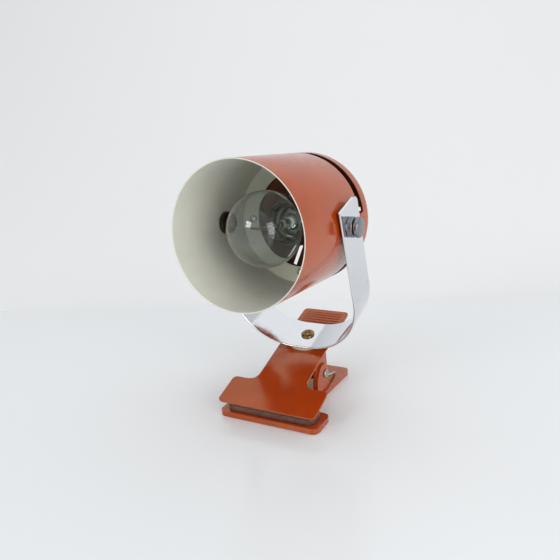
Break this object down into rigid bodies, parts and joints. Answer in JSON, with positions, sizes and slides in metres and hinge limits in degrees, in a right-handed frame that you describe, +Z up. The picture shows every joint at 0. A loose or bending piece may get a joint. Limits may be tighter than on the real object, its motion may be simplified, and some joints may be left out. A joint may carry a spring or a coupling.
{
  "type": "clip-on spot lamp",
  "caption": "Clip-on spot lamp: a painted can shade with a vented rear cap tilts on thumb knobs in a chromed U yoke that swivels on a sprung T-jaw clamp.",
  "frame": {"origin": "the middle of the whole lamp's footprint, on the surface that the clamp stands on", "axes": "+Z up; +Y towards the handle and the rear cap, so that the shade looks along -Y; +X to the right seen from the front"},
  "size_m": [0.1256, 0.1402, 0.1973],
  "materials": {
    "orange_paint": "gloss enamel",
    "chrome_plate": "polished plating",
    "bright_steel": "bright drawn",
    "brass": "dulled",
    "bulb_metal": "satin",
    "bakelite": "moulded",
    "porcelain": "glazed ceramic",
    "fibre": "pressed fibre",
    "nylon": "moulded",
    "soft_pad": "soft, smooth",
    "clear_glass": "clear"
  },
  "bodies": {
    "base": {"lower_lever": "orange_paint", "lower_pad": "soft_pad", "hinge_pin": "bright_steel", "torsion_spring": "bright_steel"},
    "grip": {"upper_lever": "orange_paint", "upper_pad": "soft_pad"},
    "yoke": {"swivel_rivet": "brass", "swivel_washer": "nylon", "yoke": "chrome_plate", "pivot_spacer_left": "fibre", "pivot_spacer_right": "fibre", "pivot_collar_left": "chrome_plate", "pivot_collar_right": "chrome_plate"},
    "head": {"shade_can": "orange_paint", "rear_cap": "orange_paint", "cap_rivet_1": "bright_steel", "cap_rivet_2": "bright_steel", "cap_rivet_3": "bright_steel", "cap_rivet_4": "bright_steel", "pivot_washer_left": "fibre", "pivot_washer_right": "fibre", "pivot_nut_left": "brass", "pivot_nut_right": "brass", "nipple": "bright_steel", "nipple_nut": "bright_steel", "cord_bushing": "bakelite", "holder_dome": "bakelite", "holder_skirt": "bakelite", "holder_insert": "porcelain", "screw_shell": "brass", "centre_contact": "brass", "terminal_screw_1": "brass", "terminal_screw_2": "brass"},
    "knob_left": {"pivot_knob_left": "chrome_plate"},
    "knob_right": {"pivot_knob_right": "chrome_plate"},
    "bulb": {"bulb_glass": "clear_glass", "bulb_stem": "clear_glass", "filament": "bright_steel", "lead_wire_1": "bright_steel", "lead_wire_2": "bright_steel", "support_wire_1": "bright_steel", "support_wire_2": "bright_steel", "bulb_cap": "bulb_metal", "bulb_insulator": "bakelite", "bulb_contact": "brass"}
  },
  "joints": [
    {"name": "clamp_open", "type": "hinge", "parent": "base", "child": "grip", "pos_m": [0, 0.01479, 0.0178], "axis": [-1, 0, 0], "range_deg": [0, 45], "stiffness_Nm_per_rad": 0.9, "springref_deg": -57.3, "deforming": ["torsion_spring"]},
    {"name": "yoke_swivel", "type": "hinge", "parent": "grip", "child": "yoke", "pos_m": [0, 0.03028, 0.04202], "axis": [0, -0.2756, 0.9613], "continuous": true},
    {"name": "head_tilt", "type": "hinge", "parent": "yoke", "child": "head", "pos_m": [0, -0.00301, 0.14213], "axis": [-1, 0, 0], "range_deg": [-100, 100]},
    {"name": "knob_left_turn", "type": "hinge", "parent": "head", "child": "knob_left", "pos_m": [-0.059, -0.00301, 0.14213], "axis": [-1, 0, 0], "range_deg": [-180, 180]},
    {"name": "knob_right_turn", "type": "hinge", "parent": "head", "child": "knob_right", "pos_m": [0.059, -0.00301, 0.14213], "axis": [1, 0, 0], "range_deg": [-180, 180]},
    {"name": "bulb_turn", "type": "hinge", "parent": "head", "child": "bulb", "pos_m": [0, 0.02503, 0.14027], "axis": [0, -0.9978, 0.0663], "continuous": true}
  ]
}
